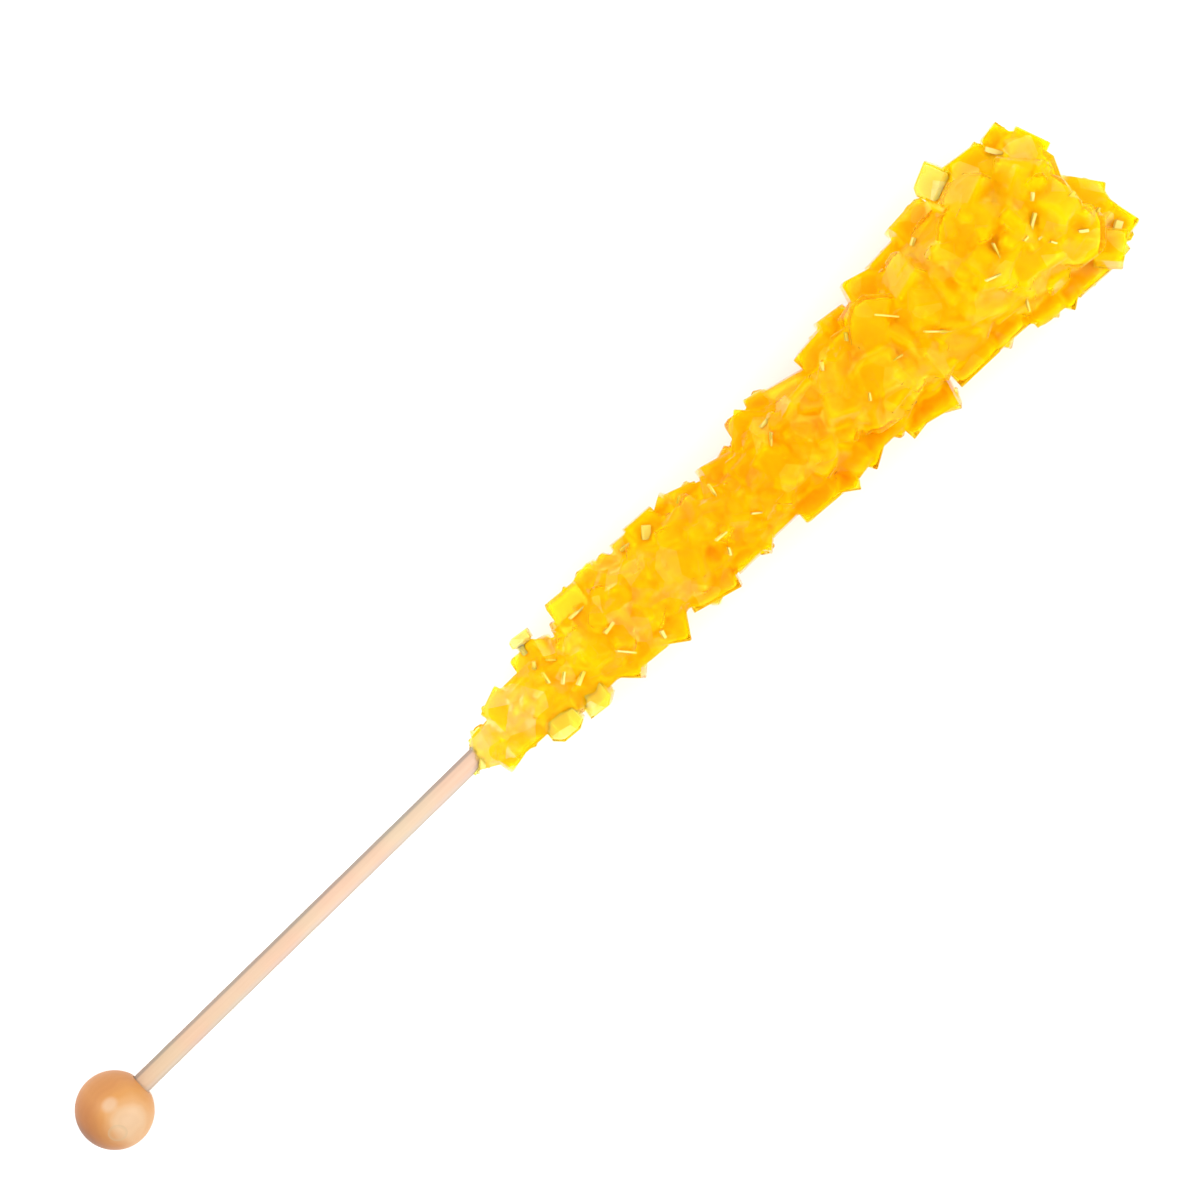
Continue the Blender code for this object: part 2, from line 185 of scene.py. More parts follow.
SMALL_REACH = (0.82, 1.0)      # against the outline
SMALL_SEGMENTS = 1
CLEAR_DEPTH = 1.9              # the clear candy's core lies this far under the outline
HEART_REACH = 0.97             # the cloudy heart's crystals stand this far out, against the clear ones
SIDE_HEART_REACH = 1.0         # the same for the crystals that stand out at the two sides
HEART_SIZE = 0.92
HEART_DEPTH = 2.3
HEART_END = 150.0
HEART_VOXEL = 0.45 * MM
HEART_SMOOTHING = 18
# Side crystals that are paler than the rest: (u, v)
PALE_CRYSTALS = ((72.9, 5.3), (73.6, 6.3), (146.1, 10.8), (70.4, -4.4), (75.3, -4.7))
SAME_PLACE = 0.1               # millimetres
PALE_HEART_SIZE = 0.86
PALE_ROOT_REACH = 0.85         # the amber heart reaches this far into them
PALE_LIFT = 1.6                # they sit higher than the other side crystals, millimetres

# Thin pale crystals on top, whose pale colour paints glints of the key light: (u, v, length, width, turn
# in degrees)
GLINTS = (
    (60, -1, 1.3, 0.6, 45), (72.5, 3, 1, 0.25, 60), (72.5, 1, 1.5, 0.25, 85),
    (74.5, 2, 1.5, 0.2, -45), (74, -0.5, 1.5, 0.2, 40), (75.5, -2, 1.8, 0.4, 20),
    (80.5, 4, 2.4, 0.25, -10), (82, 0, 1.7, 0.4, 5), (81.5, -3.5, 2.5, 0.2, -50),
    (84, -2, 1, 0.25, 30), (86, -5, 1, 0.35, 80), (90, 5.5, 1.3, 0.35, -10),
    (93, 5, 1.7, 1, 50), (98.5, 5, 1, 0.35, 30), (99, -1.5, 1.7, 0.2, -10),
    (98.5, -3.5, 1, 0.2, 70), (102, 3, 2, 0.2, 85), (104, -2.5, 1.7, 0.2, -40),
    (111, 2.5, 2, 0.2, 45), (112, 4.5, 1.7, 0.25, 0), (121.5, 4.5, 1, 0.25, 60),
    (123, -2, 1, 0.2, 60), (126, 5, 1, 0.25, 60), (129, -1, 2.5, 0.2, -20),
    (131, 3.5, 3, 0.2, -50), (134, -2, 3.5, 0.2, -45), (139.5, 7.5, 1, 0.4, 30),
    (143, -2, 2, 0.2, -25), (144, -7, 2, 0.2, 65), (145.5, 0, 2, 0.2, 75),
    (149, -1.5, 0.7, 0.25, 0), (151, -0.5, 2, 0.35, 30), (150.5, -2.5, 1.2, 0.25, -10),
    (151, -4, 0.8, 0.2, -60), (153, 1.5, 1, 0.25, 45), (154, 8, 3.5, 0.6, -60),
    (154.5, -5.5, 1.3, 0.35, -40), (156.5, -1.5, 0.8, 0.35, 0), (157.5, -5, 0.8, 0.25, 20),
    (158, -8, 1.5, 0.9, 30),
)
GLINT_DEPTH = 0.6
GLINT_LIFT = 0.3               # a plate clears bumps up to this high
GLINT_PROUD = 0.05
GLINT_SPOTS = (-0.5, -0.25, 0.0, 0.25, 0.5)     # where the surface under a plate is felt, along it
ABOVE_CANDY = 0.1              # metres

# The clear sugar
SUGAR_IOR = 1.32
SUGAR_GLOSS_TINT = (1.0, 0.9, 0.06, 1.0)
SUGAR_DEPTH_COLOUR = (1.0, 0.965, 0.0, 1.0)
SUGAR_DENSITY = 1100.0
SUGAR_WAVES = 420.0            # the waves' scale, and their height
SUGAR_WAVE_HEIGHT = 0.03 * MM
SUGAR_HAZE = 260.0
SUGAR_ROUGHNESS = (0.12, 0.26)

# The hearts' grains, pale patches and glow
GRAIN_SCALE = 330.0
GRAIN_TINTS = ((0.2, (1.0, 0.95, 0.85)), (0.8, (1.0, 1.05, 1.15)))
PATCH_EDGES = (1.15, 1.4)      # sum of a cloud and a grain at which a patch starts and is full
PATCH_STRENGTH = 0.7
GLOW_COLOURS = (1.0, 0.8, 0.3)
GLOW_REACH = 2.2 * MM          # how far light travels inside

# The amber heart's colour along the stick, from the candy's start (0) to its blunt end (1)
HEART_SPAN = (-18.0 * MM, 82.0 * MM)
HEART_CLOUD_SCALE = 300.0
HEART_COLOURS = (
    (0.0, (1.0, 0.54, 0.02)), (0.15, (1.0, 0.51, 0.004)), (0.5, (1.0, 0.42, 0.0005)),
    (0.75, (1.0, 0.49, 0.001)), (1.0, (1.0, 0.56, 0.005)),
)
# The same for the paler patches in it
PATCH_COLOURS = (
    (0.0, (1.0, 0.66, 0.30)), (0.2, (1.0, 0.58, 0.14)), (0.4, (1.0, 0.49, 0.03)),
    (0.75, (1.0, 0.55, 0.04)), (1.0, (1.0, 0.64, 0.18)),
)
# The pale hearts' colour across the stick, from the -Y side (0) to the +Y side (1), and their patches'
PALE_SPAN = (-8.0 * MM, 14.0 * MM)
PALE_CLOUD_SCALE = 650.0
PALE_COLOURS = (
    (0.0, (1.0, 0.62, 0.12)), (0.5, (1.0, 0.62, 0.12)), (0.58, (0.76, 0.55, 0.20)),
    (0.68, (0.76, 0.55, 0.20)), (0.75, (1.0, 0.68, 0.20)),
)
PALE_PATCH_COLOURS = (
    (0.0, (1.0, 0.90, 0.68)), (0.5, (1.0, 0.90, 0.68)), (0.58, (0.92, 0.78, 0.50)),
    (0.68, (0.92, 0.78, 0.50)), (0.75, (1.0, 0.95, 0.80)),
)
# The thin crystals on top: painted glints
PAINTED_GLINT_COLOURS = ((0.4, (0.62, 0.46, 0.03)), (0.6, (0.68, 0.57, 0.16)))

# The stick's wood: its fibres from dark to light, then painted shade across it (-Y to +Y), darker and
# greyer at both edges and most along the +Y side, then its tint along it
FIBRE_SCALE = (50.0, 1500.0, 1500.0)
STICK_COLOURS = ((0.3, (0.475, 0.335, 0.235)), (0.55, (0.51, 0.365, 0.26)), (0.75, (0.53, 0.385, 0.275)))
STICK_PAINTED_SHADE = (
    (0.0, (0.70, 0.78, 0.88)), (0.12, (0.94, 1.03, 1.17)), (0.3, (1.0, 1.0, 1.0)),
    (0.78, (0.95, 0.95, 0.95)), (0.86, (0.55, 0.60, 0.67)), (0.93, (0.52, 0.58, 0.66)),
    (1.0, (0.54, 0.58, 0.64)),
)
STICK_ALONG = ((0.0, (0.98, 0.94, 0.90)), (0.3, (1.02, 1.03, 1.03)), (1.0, (1.05, 1.09, 1.12)))
STICK_CLOUDS = ((0.35, (1.04, 0.95, 0.94)), (0.65, (0.98, 1.02, 0.98)))     # pinker and yellower lengths
BARE_STICK = 57.0 * MM

# The ball's wood: growth rings round a pith to one side, then a painted highlight, a soft pale spot near
# its top, and a small eye, each at (u, v, w)
BALL_COLOURS = (
    (0.0, (0.49, 0.335, 0.21)), (0.42, (0.49, 0.31, 0.17)), (0.58, (0.47, 0.25, 0.10)),
    (0.75, (0.45, 0.205, 0.055)), (1.0, (0.40, 0.165, 0.045)),
)
# Painted shade: the same wood is darkened away from the stick, with tints from the ball's far end (0) to
# its middle (1)
BALL_FAR_END_SHADE = (
    (0.03, (0.42, 0.33, 0.25)), (0.26, (0.74, 0.63, 0.52)), (0.56, (0.88, 0.80, 0.74)),
    (0.85, (1.0, 1.0, 1.0)),
)
BALL_PITH = (0.7 * MM, -2.0 * MM, 0.0)
BALL_PITH_SCALE = (1.0, 1.0, 0.3)
BALL_WANDER = 2.6 * MM         # how far the rings stray from circles
BALL_RINGS = (1.3 * MM, 6.0 * MM)
BALL_RING_WAVES = 9000.0       # the fine lines: their sine's radians in a metre, and their tints
BALL_RING_TINTS = (0.985, 1.01)
# painted highlight: a soft pale spot near the ball's top
BALL_PAINTED_HIGHLIGHT = (0.45 * MM, 0.9 * MM, 4.64 * MM)
BALL_PAINTED_HIGHLIGHT_SCALE = (0.8, 1.0, 1.0)
BALL_PAINTED_HIGHLIGHT_REACH = (0.4 * MM, 1.1 * MM)
BALL_PAINTED_HIGHLIGHT_STRENGTH = 0.65
BALL_PAINTED_HIGHLIGHT_COLOUR = (0.50, 0.34, 0.22)
BALL_EYE = (-1.3 * MM, -2.25 * MM, 3.98 * MM)
BALL_EYE_RADIUS = 1.2 * MM
BALL_EYE_STRENGTH = 0.45
BALL_EYE_COLOUR = (0.37, 0.28, 0.16)

FLOOR_COLOURS = ((0.0, (0.89, 0.89, 0.89)), (1.0, (0.93, 0.93, 0.93)))

# The picture
VIEW_WIDTH = 142.0 * MM
VIEW_CENTRE = (83.5 * MM, 3.1 * MM)     # along the stick and sideways
VIEW_TURN = math.radians(44.3)          # the stick runs up to the right at this angle
CAMERA_HEIGHT = 1.5
CAMERA_SENSOR = 36.0
FLOOR_HALF = 1.5
LIGHT_AIM = Vector((0.03, 0.0, 0.01))
KEY_PLACE = Vector((0.36, -0.42, 0.42))
KEY_SIDES = (0.2, 0.2)
KEY_POWER = 1.7
FILL_PLACE = Vector((-0.25, 0.35, 0.5))
FILL_SIDES = (0.12, 0.16)
FILL_POWER = 1.2
WORLD_AROUND = 1.6             # the surroundings' strength, down to the one above
WORLD_ABOVE = 1.0
WORLD_HEIGHTS = (0.8, 0.95)    # the upward parts of the directions between which it changes


# ---- Nodes and materials ----------------------------------------------------------------------

def new_material(name):
    """A node material with its Principled shader."""
    made = bpy.data.materials.new(name)
    made.use_nodes = True
    return made, made.node_tree, made.node_tree.nodes["Principled BSDF"]


def node(tree, kind, inputs=None, **settings):
    """Add a node with its settings, its numbers and its links."""
    made = tree.nodes.new(kind)
    for name, value in settings.items():
        setattr(made, name, value)
    for name, value in (inputs or {}).items():
        if isinstance(value, bpy.types.NodeSocket):
            tree.links.new(value, made.inputs[name])
        else:
            made.inputs[name].default_value = value
    return made


def colour_ramp(tree, factor, stops):
    """A colour ramp of (place, colour) stops."""
    ramp = node(tree, "ShaderNodeValToRGB", {"Fac": factor})
    band = ramp.color_ramp
    while len(band.elements) < len(stops):
        band.elements.new(1.0)
    for element, (place, colour) in zip(band.elements, stops):
        element.position = place
        element.color = (*colour, 1.0)
    return ramp.outputs["Color"]


def mixed_colours(tree, factor, first, second):
    """Blend two colours, each a socket or plain numbers."""
    mix = tree.nodes.new("ShaderNodeMix")
    mix.data_type = "RGBA"
    tree.links.new(factor, mix.inputs[0])
    colour_sockets = [socket for socket in mix.inputs if socket.type == "RGBA"]
    for socket, colour in zip(colour_sockets, (first, second)):
        if isinstance(colour, bpy.types.NodeSocket):
            tree.links.new(colour, socket)
        else:
            socket.default_value = (*colour, 1.0)
    return next(socket for socket in mix.outputs if socket.type == "RGBA")


def multiplied(tree, first, second):
    """Multiply two colours."""
    product = node(tree, "ShaderNodeVectorMath", {0: first, 1: second}, operation="MULTIPLY")
    return product.outputs["Vector"]


def raised_by(tree, shader, height, strength, distance):
    """Give the shader's surface small bumps."""
    bump = node(tree, "ShaderNodeBump", {"Height": height, "Strength": strength, "Distance": distance})
    tree.links.new(bump.outputs["Normal"], shader.inputs["Normal"])


def sugar_material():
    """Clear sugar: the colour lies in its depth, and its faces are slightly uneven and dull."""
    made, tree, shader = new_material("amber_sugar")
    shader.inputs["Base Color"].default_value = (1.0, 1.0, 1.0, 1.0)
    shader.inputs["Transmission Weight"].default_value = 1.0
    shader.inputs["IOR"].default_value = SUGAR_IOR
    shader.inputs["Specular Tint"].default_value = SUGAR_GLOSS_TINT
    place = node(tree, "ShaderNodeTexCoord")
    waves = node(tree, "ShaderNodeTexNoise", {
        "Vector": place.outputs["Object"], "Scale": SUGAR_WAVES, "Detail": 2.0})
    raised_by(tree, shader, waves.outputs["Fac"], 1.0, SUGAR_WAVE_HEIGHT)
    haze = node(tree, "ShaderNodeTexNoise", {
        "Vector": place.outputs["Object"], "Scale": SUGAR_HAZE, "Detail": 3.0})
    roughness = node(tree, "ShaderNodeMapRange", {
        "Value": haze.outputs["Fac"], "From Min": 0.3, "From Max": 0.7,
        "To Min": SUGAR_ROUGHNESS[0], "To Max": SUGAR_ROUGHNESS[1]})
    tree.links.new(roughness.outputs["Result"], shader.inputs["Roughness"])
    absorption = node(tree, "ShaderNodeVolumeAbsorption", {
        "Color": SUGAR_DEPTH_COLOUR, "Density": SUGAR_DENSITY})
    tree.links.new(absorption.outputs["Volume"], tree.nodes["Material Output"].inputs["Volume"])
    return made


def cloudy_material(name, axis, span, cloud_scale, colours, patch_colours):
    """The cloudy inside: sugar full of tiny faults, which throws the light back out."""
    made, tree, shader = new_material(name)
    place = node(tree, "ShaderNodeTexCoord")
    parts = node(tree, "ShaderNodeSeparateXYZ", {"Vector": place.outputs["Object"]})
    share = node(tree, "ShaderNodeMapRange", {
        "Value": parts.outputs[axis], "From Min": span[0], "From Max": span[1]})
    clouds = node(tree, "ShaderNodeTexNoise", {
        "Vector": place.outputs["Object"], "Scale": cloud_scale, "Detail": 3.0})
    cells = node(tree, "ShaderNodeTexVoronoi", {
        "Vector": place.outputs["Object"], "Scale": GRAIN_SCALE})
    grain = node(tree, "ShaderNodeSeparateXYZ", {"Vector": cells.outputs["Color"]})
    both = node(tree, "ShaderNodeMath", {0: clouds.outputs["Fac"], 1: grain.outputs["Y"]})
    patches = node(tree, "ShaderNodeMapRange", {
        "Value": both.outputs["Value"], "From Min": PATCH_EDGES[0], "From Max": PATCH_EDGES[1],
        "To Max": PATCH_STRENGTH})
    colour = mixed_colours(
        tree, patches.outputs["Result"], colour_ramp(tree, share.outputs["Result"], colours),
        colour_ramp(tree, share.outputs["Result"], patch_colours))
    colour = multiplied(tree, colour, colour_ramp(tree, grain.outputs["X"], GRAIN_TINTS))
    tree.links.new(colour, shader.inputs["Base Color"])
    shader.inputs["Roughness"].default_value = 0.6
    shader.inputs["Specular IOR Level"].default_value = 0.0
    shader.inputs["Subsurface Weight"].default_value = 1.0
    shader.inputs["Subsurface Radius"].default_value = GLOW_COLOURS
    shader.inputs["Subsurface Scale"].default_value = GLOW_REACH
    return made


def painted_glint_material():
    """Dense pale sugar with a dull gloss, for the thin crystals on top; its pale colour paints glints."""
    made, tree, shader = new_material("painted_glint_sugar")
    place = node(tree, "ShaderNodeTexCoord")
    clouds = node(tree, "ShaderNodeTexNoise", {"Vector": place.outputs["Object"], "Scale": 250.0})
    tree.links.new(colour_ramp(tree, clouds.outputs["Fac"], PAINTED_GLINT_COLOURS), shader.inputs["Base Color"])
    shader.inputs["Roughness"].default_value = 0.4
    shader.inputs["Specular IOR Level"].default_value = 0.1
    return made


def along_line(tree, line):
    """Coordinates along the stick's line: u, v and w in metres."""
    place = node(tree, "ShaderNodeTexCoord")
    return node(tree, "ShaderNodeMapping", {
        "Vector": place.outputs["Object"], "Location": line.to_translation(),
        "Rotation": line.to_euler()}, vector_type="TEXTURE").outputs["Vector"]


def stick_material(line):
    """Pale dowel wood: long fibres, painted shade that darkens both edges and most the +Y one, and warmer
    towards the ball.
    """
    made, tree, shader = new_material("dowel_wood")
    place = along_line(tree, line)
    parts = node(tree, "ShaderNodeSeparateXYZ", {"Vector": place})
    across = node(tree, "ShaderNodeMapRange", {
        "Value": parts.outputs["Y"], "From Min": -STICK_RADIUS, "From Max": STICK_RADIUS})
    along = node(tree, "ShaderNodeMapRange", {
        "Value": parts.outputs["X"], "From Min": BALL_RADIUS, "From Max": BARE_STICK})
    stretched = node(tree, "ShaderNodeMapping", {"Vector": place, "Scale": FIBRE_SCALE})
    fibres = node(tree, "ShaderNodeTexNoise", {
        "Vector": stretched.outputs["Vector"], "Scale": 1.0, "Detail": 4.0, "Roughness": 0.6})
    colour = colour_ramp(tree, fibres.outputs["Fac"], STICK_COLOURS)
    # painted shade: both edges of the stick darker, most along the +Y side
    colour = multiplied(tree, colour, colour_ramp(tree, across.outputs["Result"], STICK_PAINTED_SHADE))
    colour = multiplied(tree, colour, colour_ramp(tree, along.outputs["Result"], STICK_ALONG))
    clouds = node(tree, "ShaderNodeTexNoise", {"Vector": place, "Scale": 180.0, "Detail": 1.0})
    colour = multiplied(tree, colour, colour_ramp(tree, clouds.outputs["Fac"], STICK_CLOUDS))
    tree.links.new(colour, shader.inputs["Base Color"])
    raised_by(tree, shader, fibres.outputs["Fac"], 0.6, 0.02 * MM)
    shader.inputs["Roughness"].default_value = 0.6
    shader.inputs["Specular IOR Level"].default_value = 0.2
    return made


def distance_from(tree, place, point, scale=(1.0, 1.0, 1.0)):
    """The distance from a point, which may count less along one axis."""
    offset = node(tree, "ShaderNodeVectorMath", {0: place, 1: point}, operation="SUBTRACT")
    scaled = node(tree, "ShaderNodeVectorMath", {
        0: offset.outputs["Vector"], 1: scale}, operation="MULTIPLY")
    length = node(tree, "ShaderNodeVectorMath", {0: scaled.outputs["Vector"]}, operation="LENGTH")
    return length.outputs["Value"]


def ringed_wood(tree, place):
    """The colour of growth rings that wander round the ball's pith, with faint fine lines."""
    wander = node(tree, "ShaderNodeTexNoise", {"Vector": place, "Scale": 240.0, "Detail": 2.0})
    shift = node(tree, "ShaderNodeMath", {0: wander.outputs["Fac"], 1: BALL_WANDER}, operation="MULTIPLY")
    from_pith = distance_from(tree, place, BALL_PITH, BALL_PITH_SCALE)
    rings = node(tree, "ShaderNodeMath", {0: from_pith, 1: shift.outputs["Value"]}, operation="ADD")
    share = node(tree, "ShaderNodeMapRange", {
        "Value": rings.outputs["Value"], "From Min": BALL_RINGS[0], "From Max": BALL_RINGS[1]})
    waves = node(tree, "ShaderNodeMath", {
        0: rings.outputs["Value"], 1: BALL_RING_WAVES}, operation="MULTIPLY")
    lines = node(tree, "ShaderNodeMath", {0: waves.outputs["Value"]}, operation="SINE")
    faint = node(tree, "ShaderNodeMapRange", {
        "Value": lines.outputs["Value"], "From Min": -1.0,
        "To Min": BALL_RING_TINTS[0], "To Max": BALL_RING_TINTS[1]})
    colour = colour_ramp(tree, share.outputs["Result"], BALL_COLOURS)
    return multiplied(tree, colour, faint.outputs["Result"])


def with_eye(tree, place, colour):
    """Add the ball's eye: a dark ring that fades towards its middle."""
    from_eye = distance_from(tree, place, BALL_EYE)
    fade = node(tree, "ShaderNodeMapRange", {
        "Value": from_eye, "From Min": 0.5 * BALL_EYE_RADIUS, "From Max": BALL_EYE_RADIUS,
        "To Max": BALL_EYE_STRENGTH}, interpolation_type="SMOOTHSTEP")
    inside = node(tree, "ShaderNodeMath", {0: from_eye, 1: BALL_EYE_RADIUS}, operation="LESS_THAN")
    ring = node(tree, "ShaderNodeMath", {
        0: fade.outputs["Result"], 1: inside.outputs["Value"]}, operation="MULTIPLY")
    return mixed_colours(tree, ring.outputs["Value"], colour, BALL_EYE_COLOUR)


def with_painted_highlight(tree, place, colour):
    """Add a painted highlight: a soft pale spot on the ball's top."""
    from_painted_highlight = distance_from(tree, place, BALL_PAINTED_HIGHLIGHT, BALL_PAINTED_HIGHLIGHT_SCALE)
    painted_highlight = node(tree, "ShaderNodeMapRange", {
        "Value": from_painted_highlight, "From Min": BALL_PAINTED_HIGHLIGHT_REACH[0], "From Max": BALL_PAINTED_HIGHLIGHT_REACH[1],
        "To Min": BALL_PAINTED_HIGHLIGHT_STRENGTH, "To Max": 0.0}, interpolation_type="SMOOTHSTEP")
    return mixed_colours(tree, painted_highlight.outputs["Result"], colour, BALL_PAINTED_HIGHLIGHT_COLOUR)


def ball_material(line):
    """Turned wood: growth rings round a pith to one side and a small eye, with painted shade towards the
    far end and a painted highlight, a soft pale spot, on top.
    """
    made, tree, shader = new_material("turned_wood")
    place = along_line(tree, line)
    parts = node(tree, "ShaderNodeSeparateXYZ", {"Vector": place})
    along = node(tree, "ShaderNodeMapRange", {
        "Value": parts.outputs["X"], "From Min": -BALL_RADIUS, "From Max": 0.0})
    # painted shade: the ball darker towards its far end
    far_end_shade = colour_ramp(tree, along.outputs["Result"], BALL_FAR_END_SHADE)
    colour = multiplied(tree, ringed_wood(tree, place), far_end_shade)
    # the eye, then the painted highlight on top
    colour = with_painted_highlight(tree, place, with_eye(tree, place, colour))
    tree.links.new(colour, shader.inputs["Base Color"])
    pores = node(tree, "ShaderNodeTexNoise", {"Vector": place, "Scale": 2500.0, "Detail": 3.0})
    raised_by(tree, shader, pores.outputs["Fac"], 0.5, 0.02 * MM)
    shader.inputs["Roughness"].default_value = 0.45
    shader.inputs["Specular IOR Level"].default_value = 0.3
    return made


def floor_material():
    """A plain white sweep with a faint unevenness."""
    made, tree, shader = new_material("white_floor")
    place = node(tree, "ShaderNodeTexCoord")
    grain = node(tree, "ShaderNodeTexNoise", {"Vector": place.outputs["Object"], "Scale": 30.0})
    tree.links.new(colour_ramp(tree, grain.outputs["Fac"], FLOOR_COLOURS), shader.inputs["Base Color"])
    shader.inputs["Roughness"].default_value = 0.9
    return made


# ---- Meshes -----------------------------------------------------------------------------------

def stick_line():
    """The place and the slope of the stick's line: the CAD ball gives its start."""
    low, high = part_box("ball")
    start = Vector((low.x + BALL_RADIUS, 0.5 * (low.y + high.y), BALL_RADIUS - FLOOR_FLAT))
    return Matrix.Translation(start) @ Matrix.Rotation(-SLOPE, 4, "Y")


def object_from(bm, name, finish=None, line=None):
    """Turn a bmesh into a named object, placed on the stick's line if there is one."""
    if line is not None:
        bmesh.ops.transform(bm, matrix=line, verts=bm.verts[:])
    bm.normal_update()
    bmesh.ops.recalc_face_normals(bm, faces=bm.faces[:])
    mesh = bpy.data.meshes.new(name)
    bm.to_mesh(mesh)
    bm.free()
    thing = bpy.data.objects.new(name, mesh)
    bpy.context.scene.collection.objects.link(thing)
    if finish:
        mesh.materials.append(finish)
    return thing


def bake(thing):
    """Replace a piece's mesh by what its modifiers make of it, and remove the tools they used."""
    tools = [step.object for step in thing.modifiers if step.type == "BOOLEAN"]
    depsgraph = bpy.context.evaluated_depsgraph_get()
    baked = bpy.data.meshes.new_from_object(thing.evaluated_get(depsgraph))
    thing.modifiers.clear()
    thing.data = baked
    for tool in tools:
        bpy.data.objects.remove(tool)


def boolean(target, tool, operation):
    """Add a Boolean of closed meshes to the target."""
    step = target.modifiers.new(f"{operation.lower()} {tool.name}", "BOOLEAN")
    step.operation = operation
    step.solver = "MANIFOLD"
    step.object = tool


def ring_of(bm, u, reach_at, sides, turn=0.0):
    """A ring of vertices round the stick's line, with a reach for each angle."""
    ring = []
    for step in range(sides):
        angle = turn + 2 * math.pi * step / sides
        reach = reach_at(angle)
        ring.append(bm.verts.new((u, reach * math.cos(angle), reach * math.sin(angle))))
    return ring


def close_rings(bm, rings):
    """Skin a row of rings and cap both ends."""
    for near, far in zip(rings, rings[1:]):
        for step in range(len(near)):
            after = (step + 1) % len(near)
            bm.faces.new((near[step], near[after], far[after], far[step]))
    bm.faces.new(rings[0])
    bm.faces.new(rings[-1])


def turned(profile, sides):
    """A closed round mesh from its profile: (place along the stick, radius)."""
    bm = bmesh.new()
    close_rings(bm, [ring_of(bm, u, lambda angle: radius, sides) for u, radius in profile])
    return bm


def side_reach(u, angle):
    """The candy's reach from the stick at a place and an angle: 0 is the +Y side, pi the -Y side."""
    u = min(max(u, OUTLINE[0][0]), OUTLINE[-1][0])
    for near, far in zip(OUTLINE, OUTLINE[1:]):
        if u <= far[0]:
            break
    share = (u - near[0]) / (far[0] - near[0])
    plus_y = near[1] + (far[1] - near[1]) * share
    minus_y = near[2] + (far[2] - near[2]) * share
    side = 0.5 + 0.5 * math.cos(angle)
    return plus_y * side + minus_y * (1 - side)


def core_mesh(depth):
    """The solid middle of the candy, this far under its outline, which every crystal grows out of."""
    bm = bmesh.new()
    rings = []
    steps = round((CORE_END - CORE_START) / CORE_STEP)
    for step in range(steps + 1):
        u = CORE_START + (CORE_END - CORE_START) * step / steps
        rings.append(ring_of(
            bm, u * MM, lambda angle: max((side_reach(u, angle) - depth) * MM, CORE_THINNEST),
            CORE_SIDES, turn=CORE_TWIST * step))
    close_rings(bm, rings)
    return bm


# ---- Sugar crystals: where they grow, as in the CAD -------------------------------------------

def crystal_form(cuts, segments=ROUNDING_SEGMENTS):
    """One form of sugar crystal: a leaning unit block with flat cuts and rounded edges."""
    bm = bmesh.new()
    bmesh.ops.create_cube(bm, size=1.0)
    for direction, distance in cuts:
        normal = Vector(direction).normalized()
        cut = bmesh.ops.bisect_plane(
            bm, geom=bm.verts[:] + bm.edges[:] + bm.faces[:], dist=1e-6,
            plane_co=normal * distance, plane_no=normal, clear_outer=True)
        rim = [edge for edge in cut["geom_cut"] if isinstance(edge, bmesh.types.BMEdge)]
        bmesh.ops.contextual_create(bm, geom=rim)
    lean = Matrix.Identity(4)
    lean[1][2] = math.tan(OBLIQUE)
    bmesh.ops.transform(bm, matrix=lean, verts=bm.verts[:])
    bmesh.ops.bevel(
        bm, geom=bm.edges[:], offset=ROUNDING, offset_type="OFFSET", affect="EDGES",
        segments=segments, profile=0.5, clamp_overlap=True)
    form = bpy.data.meshes.new("crystal_form")
    bm.to_mesh(form)
    bm.free()
    return form


def grow_crystal(placed, form, foot, outward, reach, size, rng):
    """Grow a crystal away from its foot until its outermost corner is at the reach."""
    along = Vector((1, 0, 0)) if abs(outward.x) < 0.7 else Vector((0, 1, 0))
    across = outward.cross(along).normalized()
    upright = Matrix((across.cross(outward), across, outward)).transposed()
    lean = Euler((rng.uniform(-LEAN, LEAN), rng.uniform(-LEAN, LEAN), 0)).to_matrix()
    spin = Matrix.Rotation(rng.uniform(0, 2 * math.pi), 3, "Z")
    turn = upright @ lean @ spin
    lengths = Vector(size * rng.uniform(*limits) for limits in PROPORTIONS)
    height = max(
        outward.dot(turn @ Vector(a * b for a, b in zip(vert.co, lengths))) for vert in form.vertices)
    centre = foot + outward * max(reach - height, LOWEST_CENTRE)
    placed.append((form, centre, turn.to_quaternion(), lengths))


def lowered(reach, angle):
    """The rows' reach at an angle: lower at the two sides, where larger crystals stand out."""
    return reach * (1 - SIDE_LOWERING * math.cos(angle) ** 4)


def grow_rows(placed, forms, rng):
    """Rows of crystals round the stick."""
    u = ROWS_START
    while u < ROWS_END:
        share = (u - ROWS_START) / (ROWS_END - ROWS_START)
        size = SIZE_AT_START + (SIZE_AT_END - SIZE_AT_START) * share
        girth = math.pi * ROW_GIRTH * (side_reach(u, 0) + side_reach(u, math.pi))
        around = max(FEWEST_AROUND, round(girth / (size * AROUND_PITCH)))
        first_angle = rng.uniform(0, 2 * math.pi)
        for step in range(around):
            shift = rng.uniform(-AROUND_SHIFT, AROUND_SHIFT)
            angle = first_angle + 2 * math.pi * (step + shift) / around
            place = u + rng.uniform(-ALONG_SHIFT, ALONG_SHIFT) * size
            reach = lowered(side_reach(place, angle) * rng.uniform(*ROW_REACH), angle)
            outward = Vector((0, math.cos(angle), math.sin(angle)))
            foot = Vector((place, 0, 0))
            if reach > SHORTEST_REACH * size:
                grow_crystal(placed, rng.choice(forms), foot, outward, reach, size, rng)
        u += size * ROW_PITCH


